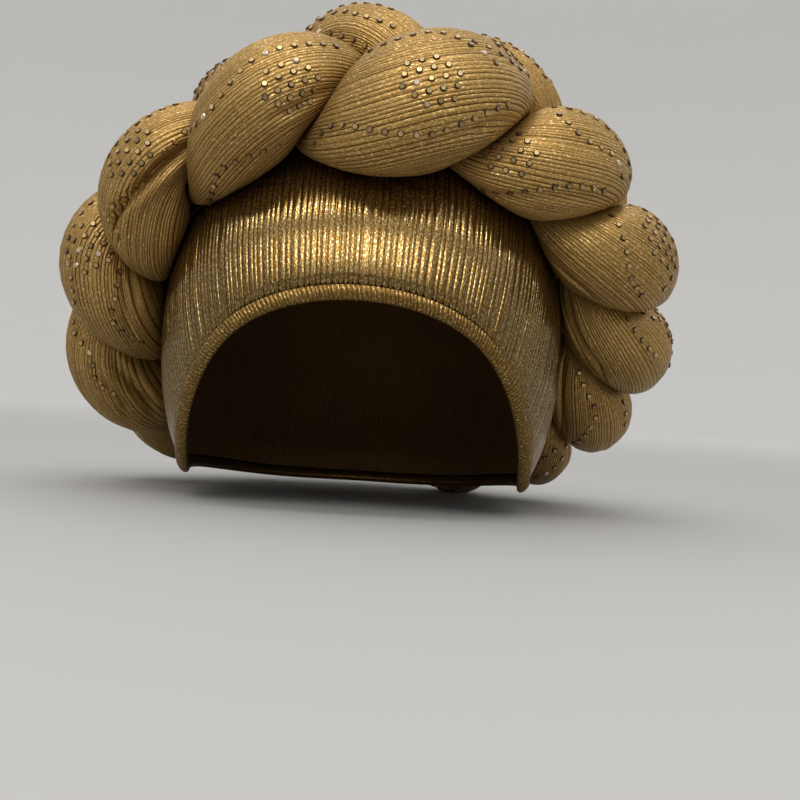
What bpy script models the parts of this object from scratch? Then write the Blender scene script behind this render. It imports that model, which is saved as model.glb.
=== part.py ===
"""Tied gele head tie: a pleated stretch cap, its rolled hem and the stuffed three-strand plait round it.

Metres, +Z up. The face looks towards -Y, and +X is the wearer's left. The origin is the highest point of
the cap's inner face, where the crown of the head sits.
"""

import math

import bmesh
import bpy
import numpy as np

# Head that the cap is cut for, a rounded dome about its widest level
HEAD_HALF_WIDTH = 0.076
HEAD_HALF_DEPTH = 0.096
CROWN_HEIGHT = 0.087
HEAD_SQUARENESS = 2.2

# Cap cloth and its rolled hem
CAP_WALL = 0.0020
HEM_WIDTH = 0.0044
HEM_THICKNESS = 0.0036
SEAT_GAP = 0.0005
GATHER_ANGLE = math.radians(35.0)

# Height angles of the face edge, seen from the middle of the widest level
BROW_ANGLE = math.radians(8.0)
EAR_ANGLE = math.radians(-38.0)
NAPE_ANGLE = math.radians(-36.0)

# How far the face edge has come down from brow to ear at each bearing from the front
EDGE_FALL = (
    # bearing_deg, share
    (0, 0.00),
    (12, 0.03),
    (20, 0.09),
    (27, 0.17),
    (32, 0.27),
    (37, 0.40),
    (43, 0.57),
    (51, 0.78),
    (60, 0.92),
    (72, 1.00),
)

# Plait of three stuffed strands, laid round a line that stands off the cap
STRANDS = 3
PLAIT_SWING = 0.0220
PLAIT_RISE = 0.0095
PLAIT_STANDOFF = 0.0180
PLAIT_TOP_LEAN = math.radians(31.0)
PLAIT_NAPE_LEAN = math.radians(56.0)
LOBE_RADIUS = 0.0225
LOBE_FLATNESS = 0.86
LOBE_PHASE = math.radians(20.0)
NECK_PINCH = 0.22
OUTER_SLIMMING = 0.23
OUTER_DROP = 0.0055
STRAND_GAP = 0.0014
CAP_GAP = 0.0006

# Lobes of the plait's inner edge, from the one over the brow clockwise as seen from the front
LOBES = (
    # turn_deg, lean, fatness, standoff, roll_deg, lead, drop
    (7, 0.00, 1.18, 0.86, 7, 0.00, 1.0),
    (36, 0.09, 1.02, 0.88, 3, 0.00, 0.8),
    (60, 0.14, 1.00, 1.00, 0, 0.00, 0.3),
    (83, 0.24, 0.92, 1.06, 0, 0.00, 0.0),
    (105, 0.38, 0.90, 0.84, 0, 0.00, 0.0),
    (125, 0.49, 0.80, 0.60, 0, 0.00, 0.0),
    (148, 0.72, 0.84, 0.80, 0, 0.00, 0.0),
    (171, 0.95, 0.88, 0.88, 0, 0.00, 0.0),
    (195, 0.97, 0.88, 0.88, 0, 0.00, 0.0),
    (218, 0.80, 0.88, 0.84, 0, 0.00, 0.0),
    (240, 0.52, 0.90, 0.74, 0, 0.00, 0.0),
    (263, 0.29, 0.98, 0.74, 0, 0.00, 0.0),
    (291, 0.18, 1.02, 0.80, 4, 0.03, 0.0),
    (316, 0.05, 0.90, 0.72, -2, 0.12, 0.7),
    (340, 0.00, 0.99, 0.76, 3, 0.00, 1.0),
)

# Fineness of the meshes
EDGE_STEPS = 720
CAP_COLUMNS = 44
CAP_ROWS = 11
HEM_SECTIONS = 56
HEM_SIDES = 8
STRAND_SECTIONS = 90
STRAND_SIDES = 14
LINE_POINTS_A_LOBE = 24
LINE_NUDGE = 0.01

# Reach of the search for a strand's surface, along the plait in lobes and outwards in metres
NEIGHBOUR_LOBES = 1.7
OWN_LOBES = 0.3
FIRST_REACH = 0.0015
REACH_STEP = 0.0020
REACH_STEPS = 16
REACH_HALVINGS = 6
DRAW_IN = 0.7

GOLD = (0.42, 0.27, 0.085, 1.0)
HEM_GOLD = (0.46, 0.31, 0.11, 1.0)
CLOTH_ROUGHNESS = 0.42
CLOTH_METALLIC = 0.65

HEAD_CENTRE = np.array([0.0, 0.0, -CROWN_HEIGHT])
LOBE_COUNT = len(LOBES)


def clear_scene():
    for item in list(bpy.data.objects):
        bpy.data.objects.remove(item, do_unlink=True)


def unit(vectors):
    return vectors / np.linalg.norm(vectors, axis=-1, keepdims=True)


def dome_radius(directions, grown):
    """Distance from the head's centre to the dome, its half sizes grown by a wall or a gap."""
    halves = np.array([HEAD_HALF_WIDTH, HEAD_HALF_DEPTH, CROWN_HEIGHT]) + grown
    powered = np.abs(directions / halves) ** HEAD_SQUARENESS
    return powered.sum(axis=-1) ** (-1.0 / HEAD_SQUARENESS)


def dome_point(directions, grown):
    return HEAD_CENTRE + directions * dome_radius(directions, grown)[..., None]


def fall_share(bearings):
    """How far the face edge has come down from brow to ear, the same on both sides."""
    keys = np.radians([row[0] for row in EDGE_FALL])
    away = np.abs((bearings + math.pi) % (2 * math.pi) - math.pi)
    return np.interp(away, keys, [row[1] for row in EDGE_FALL])


def nape_share(bearings):
    """How far the face edge has gone from ear to nape, eased at both ends."""
    start = math.radians(EDGE_FALL[-1][0])
    away = np.abs((bearings + math.pi) % (2 * math.pi) - math.pi)
    gone = np.clip((away - start) / (math.pi - start), 0.0, 1.0)
    return gone * gone * (3 - 2 * gone)


def face_edge():
    """Points on the middle of the cloth along the opening, with their outward and downward axes."""
    bearings = np.arange(EDGE_STEPS) / EDGE_STEPS * 2 * math.pi
    heights = BROW_ANGLE + (EAR_ANGLE - BROW_ANGLE) * fall_share(bearings)
    heights += (NAPE_ANGLE - EAR_ANGLE) * nape_share(bearings)
    reach = EDGE_STEPS // 60
    heights = np.mean([np.roll(heights, shift) for shift in range(-reach, reach + 1)], axis=0)
    flat = np.cos(heights)
    directions = np.stack([flat * np.sin(bearings), -flat * np.cos(bearings), np.sin(heights)], axis=1)
    points = dome_point(directions, CAP_WALL / 2)
    along = unit(np.roll(points, -1, axis=0) - np.roll(points, 1, axis=0))
    down = unit(np.cross(along, directions))
    out = np.cross(down, along)
    return points, out, down


def even_steps(points, count):
    """Indices of points spaced evenly along a closed line."""
    lengths = np.linalg.norm(np.roll(points, -1, axis=0) - points, axis=1)
    travelled = np.concatenate([[0], np.cumsum(lengths)])
    wanted = np.arange(count) / count * travelled[-1]
    return np.searchsorted(travelled, wanted) % len(points)


def make_material(name, colour):
    made = bpy.data.materials.new(name)
    made.use_nodes = True
    shader = made.node_tree.nodes["Principled BSDF"]
    shader.inputs["Base Color"].default_value = colour
    shader.inputs["Roughness"].default_value = CLOTH_ROUGHNESS
    shader.inputs["Metallic"].default_value = CLOTH_METALLIC
    return made


def add_ring(mesh, points):
    return [mesh.verts.new(point) for point in points]


def join_rings(mesh, first, second):
    for index in range(len(first)):
        after = (index + 1) % len(first)
        mesh.faces.new((first[index], first[after], second[after], second[index]))


def close_over(mesh, ring, tip_point):
    tip = mesh.verts.new(tip_point)
    for index in range(len(ring)):
        mesh.faces.new((ring[index], ring[(index + 1) % len(ring)], tip))


def finish_object(name, mesh, finish):
    """An object from a bmesh, its faces turned outwards and shaded smooth."""
    bmesh.ops.recalc_face_normals(mesh, faces=mesh.faces)
    data = bpy.data.meshes.new(name)
    mesh.to_mesh(data)
    mesh.free()
    data.shade_smooth()
    data.materials.append(finish)
    bpy.context.collection.objects.link(bpy.data.objects.new(name, data))


def make_closed_tube(name, sections, finish):
    """A ring-shaped body from its sections in order, the last joined to the first."""
    mesh = bmesh.new()
    rings = [add_ring(mesh, section) for section in sections]
    for index in range(len(rings)):
        join_rings(mesh, rings[index - 1], rings[index])
    finish_object(name, mesh, finish)


def make_head_cap(finish):
    """The closed dome, its columns running from the gather behind the crown down to the hem."""
    points, _, down = face_edge()
    edge = unit(points - down * (HEM_WIDTH + SEAT_GAP) - HEAD_CENTRE)
    edge = edge[even_steps(points, CAP_COLUMNS)]
    gather = np.array([0.0, math.sin(GATHER_ANGLE), math.cos(GATHER_ANGLE)])
    swept = np.arccos(edge @ gather)
    sideways = unit(edge - (edge @ gather)[:, None] * gather)
    mesh = bmesh.new()
    rims = []
    for grown in (0.0, CAP_WALL):
        rings = []
        for row in range(1, CAP_ROWS + 1):
            turned = (swept * row / CAP_ROWS)[:, None]
            directions = np.cos(turned) * gather + np.sin(turned) * sideways
            rings.append(add_ring(mesh, dome_point(directions, grown)))
        close_over(mesh, rings[0], dome_point(gather, grown))
        for upper, lower in zip(rings, rings[1:]):
            join_rings(mesh, upper, lower)
        rims.append(rings[-1])
    join_rings(mesh, rims[0], rims[1])
    finish_object("head_cap", mesh, finish)


def make_rolled_hem(finish):
    points, out, down = face_edge()
    middle = points - down * (HEM_WIDTH / 2)
    turns = np.arange(HEM_SIDES) / HEM_SIDES * 2 * math.pi
    sections = []
    for at in even_steps(points, HEM_SECTIONS):
        across = np.cos(turns)[:, None] * down[at] * (HEM_WIDTH / 2)
        through = np.sin(turns)[:, None] * out[at] * (HEM_THICKNESS / 2)
        sections.append(middle[at] + across + through)
    make_closed_tube("rolled_hem", sections, finish)


def along_plait(column, at, gain=0.0):
    """A smooth run through a column's value at each lobe, rising by the gain every time round."""
    values = np.array([row[column] for row in LOBES], float)
    whole = np.floor(at).astype(int)
    part = at - whole
    before, here, after, beyond = (
        values[(whole + step) % LOBE_COUNT] + gain * ((whole + step) // LOBE_COUNT)
        for step in (-1, 0, 1, 2)
    )
    bend = 2 * before - 5 * here + 4 * after - beyond + part * (3 * (here - after) + beyond - before)
    return here + 0.5 * part * (after - before + part * bend)


def plait_line(at):
    """Guide point and its direction from the head's centre, at a place counted in lobes."""
    turn = np.radians(along_plait(0, at, 360.0))
    lean = PLAIT_NAPE_LEAN * along_plait(1, at)
    top = np.array([0.0, -math.sin(PLAIT_TOP_LEAN), math.cos(PLAIT_TOP_LEAN)])
    side = np.array([1.0, 0.0, 0.0])
    back = np.array([0.0, math.cos(PLAIT_TOP_LEAN), math.sin(PLAIT_TOP_LEAN)])
    level = np.cos(turn)[:, None] * top + np.sin(turn)[:, None] * side
    directions = np.cos(lean)[:, None] * level + np.sin(lean)[:, None] * back
    standoff = PLAIT_STANDOFF * along_plait(3, at)
    return dome_point(directions, CAP_WALL) + directions * standoff[:, None], directions


def strand_line(number, at):
    """Centre of a strand, the plait's outward axis there and the strand's full radius."""
    middle, directions = plait_line(at)
    along = unit(plait_line(at + LINE_NUDGE)[0] - plait_line(at - LINE_NUDGE)[0])
    outward = unit(directions - (directions * along).sum(axis=1)[:, None] * along)
    facewards = np.cross(along, outward)
    roll = np.radians(along_plait(4, at))[:, None]
    outward, facewards = (
        np.cos(roll) * outward + np.sin(roll) * facewards,
        np.cos(roll) * facewards - np.sin(roll) * outward,
    )
    fatness = along_plait(2, at)
    phase = 2 * math.pi * (at + along_plait(5, at) - number) / STRANDS + LOBE_PHASE
    swing = PLAIT_SWING * fatness * np.cos(phase)
    rise = PLAIT_RISE * fatness * np.sin(2 * phase)
    rise -= OUTER_DROP * along_plait(6, at) * (1 - np.cos(phase)) / 2
    centre = middle + swing[:, None] * facewards + rise[:, None] * outward
    pinch = NECK_PINCH * (1 - np.cos(2 * (phase - LOBE_PHASE))) / 2
    slimming = OUTER_SLIMMING * (1 - np.cos(phase - LOBE_PHASE)) / 2
    return centre, outward, LOBE_RADIUS * fatness * (1 - pinch) * (1 - slimming)


def depth_outside(points, line, window):
    """How far points lie outside a strand's full round form, and which part of its line is nearest."""
    centre, outward, radius = (values[window][:, None] for values in line)
    offset = points[:, :, None, :] - centre
    flattening = LOBE_FLATNESS**-2 - 1
    rise = (offset * outward).sum(axis=-1)
    distance = np.sqrt((offset**2).sum(axis=-1) + flattening * rise**2) - radius
    return distance.min(axis=-1), distance.argmin(axis=-1)


def shortest_nearby(reach):
    """The least reach of each point and its neighbours along and around a strand."""
    for axis in (0, 1):
        reach = np.minimum(reach, np.minimum(np.roll(reach, 1, axis), np.roll(reach, -1, axis)))
    return reach


def strand_sections(number):
    """A strand's sections, each point pushed out until it meets its full form, a neighbour or the cap.

    The search runs on a grid twice as fine as the mesh, and each point is drawn in towards the least reach
    near it, so that the flat faces between the points stay clear too.
    """
    steps = LOBE_COUNT * LINE_POINTS_A_LOBE
    lines = [strand_line(k, np.arange(steps) / LINE_POINTS_A_LOBE) for k in range(STRANDS)]
    sections = STRAND_SECTIONS * 2
    at = np.arange(sections) / sections * LOBE_COUNT
    centre, outward, _ = strand_line(number, at)
    along = unit(strand_line(number, at + LINE_NUDGE)[0] - strand_line(number, at - LINE_NUDGE)[0])
    up = unit(outward - (outward * along).sum(axis=1)[:, None] * along)
    side = np.cross(along, up)
    turns = np.arange(STRAND_SIDES * 2) / STRAND_SIDES * math.pi
    rays = np.cos(turns)[None, :, None] * side[:, None] + np.sin(turns)[None, :, None] * up[:, None]
    half = round(NEIGHBOUR_LOBES * LINE_POINTS_A_LOBE)
    nearest = np.round(at * LINE_POINTS_A_LOBE).astype(int)
    window = (nearest[:, None] + np.arange(-half, half + 1)) % steps
    others = [line for k, line in enumerate(lines) if k != number]

    def clear(reach):
        points = centre[:, None] + rays * reach[..., None]
        own, where = depth_outside(points, lines[number], window)
        fits = (own <= 0) & (np.abs(where - half) <= OWN_LOBES * LINE_POINTS_A_LOBE)
        for other in others:
            fits &= own + STRAND_GAP <= depth_outside(points, other, window)[0]
        from_head = points - HEAD_CENTRE
        room = np.linalg.norm(from_head, axis=-1) - dome_radius(unit(from_head), CAP_WALL)
        return fits & (room >= CAP_GAP)

    reach = np.full(rays.shape[:2], FIRST_REACH)
    moving = np.ones(reach.shape, bool)
    for _ in range(REACH_STEPS):
        moving &= clear(reach + REACH_STEP)
        reach = np.where(moving, reach + REACH_STEP, reach)
    for halving in range(1, REACH_HALVINGS + 1):
        step = REACH_STEP / 2**halving
        reach = np.where(clear(reach + step), reach + step, reach)
    reach += DRAW_IN * (shortest_nearby(reach) - reach)
    return (centre[:, None] + rays * reach[..., None])[::2, ::2]


def make_strand(number, finish):
    make_closed_tube(f"plait_strand_{number + 1}", strand_sections(number), finish)


def main():
    clear_scene()
    pleated_gold = make_material("pleated_gold_cloth", GOLD)
    rolled_gold = make_material("rolled_gold_cloth", HEM_GOLD)
    make_head_cap(pleated_gold)
    make_rolled_hem(rolled_gold)
    for number in range(STRANDS):
        make_strand(number, pleated_gold)


main()
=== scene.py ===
"""Dresses the tied gele head tie: the pleated foil cap, its rolled hem, the stuffed plait and its stones.

Metres, +Z up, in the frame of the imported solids. The face looks towards -Y, and +X is the wearer's left.
"""

import functools
import math

import bmesh
import bpy
import numpy as np
from bpy.props import FloatProperty, FloatVectorProperty, PointerProperty
from mathutils import Matrix, Vector


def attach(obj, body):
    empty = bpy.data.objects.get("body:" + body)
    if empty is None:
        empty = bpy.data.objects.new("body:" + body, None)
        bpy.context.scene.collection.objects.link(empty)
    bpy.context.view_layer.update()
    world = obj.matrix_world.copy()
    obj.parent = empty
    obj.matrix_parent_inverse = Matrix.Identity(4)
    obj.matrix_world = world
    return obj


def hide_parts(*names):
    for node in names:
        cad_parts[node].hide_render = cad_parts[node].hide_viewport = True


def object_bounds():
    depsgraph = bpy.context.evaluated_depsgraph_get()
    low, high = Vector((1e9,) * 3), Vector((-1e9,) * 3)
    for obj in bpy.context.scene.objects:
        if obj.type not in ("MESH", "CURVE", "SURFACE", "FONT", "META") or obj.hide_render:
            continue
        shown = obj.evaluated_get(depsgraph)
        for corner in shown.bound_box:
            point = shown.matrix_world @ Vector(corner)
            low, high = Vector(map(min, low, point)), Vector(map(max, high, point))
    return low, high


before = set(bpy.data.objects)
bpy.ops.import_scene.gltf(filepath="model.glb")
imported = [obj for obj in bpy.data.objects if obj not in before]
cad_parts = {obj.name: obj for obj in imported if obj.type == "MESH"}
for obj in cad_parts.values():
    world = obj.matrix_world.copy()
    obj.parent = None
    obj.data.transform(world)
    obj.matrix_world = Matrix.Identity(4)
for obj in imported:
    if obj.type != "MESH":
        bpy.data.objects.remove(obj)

bl_info = {
    "name": "Tied Gele Head Tie",
    "version": (1, 0, 0),
    "blender": (4, 5, 0),
    "location": "3D View > Sidebar > Gele",
    "description": "Builds the pleated cap, the rolled hem, the stuffed plait and its stones",
    "category": "Object",
}

CAD_LOW, CAD_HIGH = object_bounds()

# Head that the cap is cut for, as in the solids
HEAD_HALF_WIDTH = 0.076
HEAD_HALF_DEPTH = 0.096
CROWN_HEIGHT = 0.087
HEAD_SQUARENESS = 2.2

# Cap cloth and its rolled hem, as in the solids
CAP_WALL = 0.0020
HEM_WIDTH = 0.0044
HEM_THICKNESS = 0.0036
SEAT_GAP = 0.0005
GATHER_ANGLE = math.radians(35.0)
BROW_ANGLE = math.radians(8.0)
EAR_ANGLE = math.radians(-38.0)
NAPE_ANGLE = math.radians(-36.0)

# How far the face edge has come down from brow to ear at each bearing from the front
EDGE_FALL = (
    # bearing_deg, share
    (0, 0.00),
    (12, 0.03),
    (20, 0.09),
    (27, 0.17),
    (32, 0.27),
    (37, 0.40),
    (43, 0.57),
    (51, 0.78),
    (60, 0.92),
    (72, 1.00),
)

# Plait of three stuffed strands, as in the solids
STRANDS = 3
PLAIT_SWING = 0.0220
PLAIT_RISE = 0.0095
PLAIT_STANDOFF = 0.0180
PLAIT_TOP_LEAN = math.radians(31.0)
PLAIT_NAPE_LEAN = math.radians(56.0)
LOBE_RADIUS = 0.0225
LOBE_FLATNESS = 0.86
LOBE_PHASE = math.radians(20.0)
NECK_PINCH = 0.22
OUTER_SLIMMING = 0.23
OUTER_DROP = 0.0055

# Lobes of the plait's inner edge, from the one over the brow clockwise as seen from the front
LOBES = (
    # turn_deg, lean, fatness, standoff, roll_deg, lead, drop
    (7, 0.00, 1.18, 0.86, 7, 0.00, 1.0),
    (36, 0.09, 1.02, 0.88, 3, 0.00, 0.8),
    (60, 0.14, 1.00, 1.00, 0, 0.00, 0.3),
    (83, 0.24, 0.92, 1.06, 0, 0.00, 0.0),
    (105, 0.38, 0.90, 0.84, 0, 0.00, 0.0),
    (125, 0.49, 0.80, 0.60, 0, 0.00, 0.0),
    (148, 0.72, 0.84, 0.80, 0, 0.00, 0.0),
    (171, 0.95, 0.88, 0.88, 0, 0.00, 0.0),
    (195, 0.97, 0.88, 0.88, 0, 0.00, 0.0),
    (218, 0.80, 0.88, 0.84, 0, 0.00, 0.0),
    (240, 0.52, 0.90, 0.74, 0, 0.00, 0.0),
    (263, 0.29, 0.98, 0.74, 0, 0.00, 0.0),
    (291, 0.18, 1.02, 0.80, 4, 0.03, 0.0),
    (316, 0.05, 0.90, 0.72, -2, 0.12, 0.7),
    (340, 0.00, 0.99, 0.76, 3, 0.00, 1.0),
)
LOBE_COUNT = len(LOBES)
HEAD_CENTRE = np.array([0.0, 0.0, -CROWN_HEIGHT])

# Pressed pleats: across one pleat, and how deep the cloth lies there, which also sets how much painted
# groove shade it gets
PLAIT_PLEAT = (
    # share_across, share_of_depth
    (0.00, 1.00),
    (0.15, 0.10),
    (0.50, 0.00),
    (0.86, 0.30),
)
CAP_PLEAT = (
    # share_across, share_of_depth
    (0.00, 1.00),
    (0.15, 0.20),
    (0.36, 0.00),
    (0.64, 0.00),
    (0.85, 0.24),
)
PLAIT_PLEATS = 78
HIDDEN_PLEATS = 5
HIDDEN_WIDENING = 3.0
CAP_PLEATS = 272
HEM_PLEATS = 372
PLEAT_DEPTH = 0.00046
CAP_PLEAT_DEPTH = 0.00056
HEM_PLEAT_DEPTH = 0.00062
HEM_SLANT = 0.0008
STEEPEST_PLEAT = 0.36
PLAIT_FOLD = 0.0008

# Pleat widths at random, and how keenly the weakest pleat is pressed
PLAIT_WIDTHS = (0.40, 1.0, 0.80)
CAP_WIDTHS = (0.55, 1.0, 0.90)
HEM_WIDTHS = (0.70, 1.3)
PLAIT_KEEN = 0.36
CAP_KEEN = 0.55
HEM_KEEN = 0.60
PLAIT_STATIONS = 20
CAP_STATIONS = 5
# How fully a keenly pressed pleat's groove takes the painted groove shade
KEEN_TO_CREST = 1.3

# Soft folds that run along a strand, most of them where it is pinched
FOLD_WAVES = 9
FEWEST_FOLDS = 6
MORE_FOLDS = 2
FOLD_FADE_FROM = 8
FOLD_FADE = 0.7
FOLD_DRIFT = 1.4
FOLD_STRENGTH = (0.5, 1.0)
FOLD_MEAN = 0.5
PINCH_START = 1.25
PINCH_GAIN = 1.6
FOLDS_EVERYWHERE = 0.22
FOLD_SHALLOW_BELOW = 0.5
HELD_DEEP = 0.006
HELD_FOLDS = 0.25
DEEPEST_FOLD = 0.6

# Tucks in the strands: a dent with a low lip beside it, through three places counted in lobes
TUCK_ENDS = 0.45
LIP_SHARE = 0.22
LIP_PLACE = 2.4
LIP_SPREAD = 2
TUCKS = (
    # strand, depth, width, first_place, first_turn, middle_place, middle_turn, last_place, last_turn
    (1, 0.0070, 0.0019, 12.68, 36, 12.95, -2, 13.34, -5),
    (2, 0.0016, 0.0016, 1.46, -32, 1.66, -40, 1.84, -42),
    (0, 0.0018, 0.0016, 2.38, -38, 2.58, -47, 2.80, -33),
    (1, 0.0016, 0.0016, 3.38, -48, 3.58, -58, 3.78, -46),
    (1, 0.0012, 0.0018, 0.52, -22, 0.80, -2, 1.10, 10),
    (0, 0.0022, 0.0020, 11.76, -46, 11.90, -40, 12.08, -33),
    (0, 0.0014, 0.0016, 11.66, -18, 11.88, -30, 12.16, -16),
    (2, 0.0024, 0.0022, 10.76, -52, 10.98, -42, 11.16, -22),
    (2, 0.0018, 0.0018, 10.82, -26, 11.02, -14, 11.22, 6),
    (2, 0.0016, 0.0016, 14.04, -10, 14.20, 3, 14.38, 14),
    (0, 0.0014, 0.0016, 0.00, -6, 0.12, 5, 0.26, 15),
)

# Cap cloth drawn together to its gather, with fine stars of folds round it
CAP_ROUND = 0.56
GATHER_REACH = 0.055
GATHER_FOLD = 0.0011
GATHER_STEEPEST = 0.10
GATHER_DIP = 0.0016
GATHER_DIP_RADIUS = 0.007
# Painted shade in the star folds near the gather
GATHER_FOLD_SHADE = 0.35
GATHER_STARS = (
    # waves, weight
    (34, 0.5),
    (21, 0.8),
    (13, 0.6),
)
OUTER_TIP_DROP = 0.0022
INNER_TIP_DROP = 0.0012
# Crest shares that paint groove shade at the gather's two tips and in the lining's pleats
TIP_CREST = 0.2
LINING_GROOVE_SHADE = 0.6

# Round the hem's section: how far down the roll, and how far out of the cloth's middle
HEM_SECTION = (
    # down_share, out_share
    (-1.42, 0.60),
    (-1.32, 0.72),
    (-1.04, 0.88),
    (-0.72, 0.95),
    (-0.35, 1.00),
    (0.05, 0.98),
    (0.45, 0.86),
    (0.76, 0.64),
    (0.95, 0.33),
    (1.00, 0.00),
    (0.92, -0.38),
    (0.70, -0.72),
    (0.30, -0.94),
    (-0.20, -0.98),
    (-0.65, -0.86),
    (-0.94, -0.56),
    (-1.10, 0.58),
)
ROLL_DOWN_WEIGHT = 0.5
ROLL_PLEAT_GAIN = 1.4
ROLL_PLEAT_START = 0.35
ROLL_PLEAT_LEAST = 0.25
SEWN_ABOVE = -1.35

# Stones glued in rows, each row through its turning points: the place in lobes and the turn in degrees
STONE_ROWS = (
    # strand, (place, turn), (place, turn)...
    (0, (-0.38, 22), (-0.25, 34), (-0.11, 17), (-0.02, 8), (0.08, 12), (0.24, 25)),
    (0, (-0.30, 112), (-0.05, 106), (0.10, 104), (0.16, 78), (0.21, 54)),
    (0, (0.18, 84), (0.30, 62), (0.42, 72)),
    (2, (-1.57, -16), (-1.40, -7), (-1.25, 0), (-1.13, -10), (-1.01, -24)),
    (2, (-1.22, 58), (-1.07, 49), (-0.94, 58), (-0.84, 66), (-0.62, 60)),
    (1, (0.48, -26), (0.61, -15), (0.83, 8), (0.94, 15), (1.08, 17)),
    (1, (0.92, 92), (0.97, 63), (1.10, 51), (1.17, 28)),
    (1, (0.94, 116), (1.08, 98), (1.16, 72), (1.23, 46)),
    (2, (0.54, 82), (0.66, 92), (0.80, 78)),
    (2, (1.70, 82), (1.78, 51), (1.85, 22), (1.90, 8), (2.00, 2)),
    (2, (1.78, 112), (1.95, 105), (2.07, 82), (2.09, 54), (2.06, 18)),
    (0, (2.58, 36), (2.71, 29), (2.81, 30), (2.92, 35)),
    (0, (2.70, 74), (2.82, 72), (2.92, 86), (3.06, 78), (3.12, 50)),
    (1, (3.44, -24), (3.59, -6), (3.68, -3), (3.75, -14), (3.89, -34)),
    (1, (3.62, 60), (3.77, 55), (3.92, 42)),
    (2, (4.76, -30), (4.68, -16), (4.62, 4)),
    (2, (4.84, -10), (4.76, 10), (4.66, 32)),
    (2, (11.34, 54), (11.25, 32), (11.18, 2), (11.06, -3), (10.96, -20)),
    (0, (12.08, -30), (11.90, -19), (11.83, -9), (11.75, -12), (11.60, -28)),
    (0, (12.30, 52), (12.12, 45), (12.02, 30), (11.90, 38)),
    (1, (13.32, 28), (13.22, 11), (13.10, 4)),
    (1, (12.98, 3), (12.90, 10), (12.84, 24)),
    (1, (12.98, 66), (13.15, 68), (13.30, 72)),
    (1, (14.42, 64), (14.61, 79), (14.74, 70), (14.86, 80)),
    (1, (14.58, 52), (14.68, 38), (14.86, 34)),
)
STONE_CLUSTERS = (
    # strand, place, turn
    (0, 0.03, 49),
    (2, 14.19, 23),
    (1, 0.68, 38),
    (0, 0.34, 88),
    (2, 1.99, 66),
    (0, 3.02, 100),
    (0, 12.13, 12),
    (1, 13.04, 38),
    (0, 13.62, 86),
    (1, 14.48, 98),
)
PLAIN_LOBES = (6, 7, 8, 9)
INNER_ROWS = (
    # first_turn, middle_turn, last_turn
    (-4, -8, -16),
    (84, 74, 62),
)
OUTER_ROWS = (
    # first_turn, middle_turn, last_turn
    (112, 104, 112),
    (178, 168, 178),
)
ROW_HALF_LENGTH = 0.30
OUTER_LEAD = 1.5
INNER_CLUSTER_TURN = 34
OUTER_CLUSTER_TURN = 136
CLUSTER_COUNTS = (3, 4, 5, 4, 3)
CLUSTER_STEP = 0.0050
CLUSTER_ROW_STEP = 0.0039
ROW_STEP = 0.0052
STONE_CLEAR = 0.0036
STONE_TILT = math.radians(9.0)
STONE_APART = 1.9
ROW_SAMPLES = 240
NUDGE_LOBES = 0.02
NUDGE_DEGREES = 4

# Cut stone: radius and height of each ring as shares, and how far the ring is turned
STONE_RADIUS = 0.00128
STONE_HEIGHT = 0.00068
STONE_SINK = 0.00012
STONE_SIDES = 8
STONE_RINGS = (
    # radius_share, height_share, turn_share
    (1.00, 0.00, 0.0),
    (1.00, 0.30, 0.0),
    (0.68, 1.00, 0.5),
)

# Fineness of the meshes
EDGE_STEPS = 7200
PLAIT_SECTIONS = 312
PLAIT_RAYS = 72
CAP_ROWS = 44
LINING_ROWS = 12
LINE_POINTS_A_LOBE = 24
LINE_NUDGE = 0.01
FINER_SECTIONS = 8

# How far values are spread to their neighbours, in steps or passes
EDGE_SPREAD = 120
SECTION_SPREAD = 12
TUCK_SPREAD = 2
REACH_PASSES = 8
LAST_PASSES = 2
RUN_STEPS = (-1, 0, 1, 2)

# Seeds of the random draws, the strand's number added to those of the plait
CAP_WIDTH_SEED = 5
HEM_SEED = 8
STRAND_WIDTH_SEED = 11
CAP_SEED = 23
FOLD_SEED = 41
KEEN_SEED = 71
STONE_SEED = 101

# Where the grids close, out of sight: at the nape and on the strand's side towards the cap
NAPE_PLACE = 7.5
CAPWARD_TURN = 270.0

# Reach of the search for a strand's surface, along the plait in lobes and outwards in metres
NEIGHBOUR_LOBES = 1.7
OWN_LOBES = 0.35
FIRST_REACH = 0.0015
REACH_STEP = 0.0020
REACH_STEPS = 16
REACH_HALVINGS = 6
STRAND_GAP = 0.0003
CAP_GAP = 0.0004

# Finish of the cloth and the stones
CREST_COLOUR = (0.460, 0.285, 0.086)
CAP_CREST_COLOUR = (0.155, 0.094, 0.020)
# Painted shade down in the pleat grooves and along the fine lines
GROOVE_SHADE_COLOUR = (0.044, 0.016, 0.003)
FLECK_COLOUR = (0.820, 0.600, 0.280)
CAP_FLECK_COLOUR = (0.450, 0.360, 0.200)
CLOUD_COLOUR = (0.170, 0.088, 0.020)
LINING_COLOUR = (0.130, 0.078, 0.028)
STONE_COLOUR = (0.500, 0.350, 0.140)
RIM_COLOUR = (0.050, 0.024, 0.007)
# Pale painted glint for the few brightest stones
GLINT_COLOUR = (0.800, 0.660, 0.500)
DARK_STONE = 0.45
PALE_RIM = 2.2
RIM_FINISH = {"coat": 0.0, "roughness": 0.50}
TABLE_FINISH = {"coat": 0.5, "roughness": 0.30}
STONE_METALLIC = 0.75
COAT_ROUGHNESS = 0.05
GLINT_ROUGHNESS = 0.06
CLOTH_SPECULAR = 0.15
FOIL_INPUTS = ("Smooth Roughness", "Grain Roughness", "Flecks", "Fleck Spread", "Fine Lines")
FOILS = {
    # name: metallic, relief, then the values of FOIL_INPUTS
    "plait_foil_cloth": (0.58, 0.00009, (0.12, 0.44, 0.85, 0.00, 0.25)),
    "cap_foil_cloth": (0.94, 0.00003, (0.05, 0.17, 0.80, 0.07, 0.10)),
    "cap_inside_cloth": (0.30, 0.00010, (0.50, 0.65, 0.10, 0.00, 0.50)),
    "hem_foil_cloth": (0.80, 0.00006, (0.14, 0.32, 0.50, 0.02, 0.10)),
}

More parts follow.
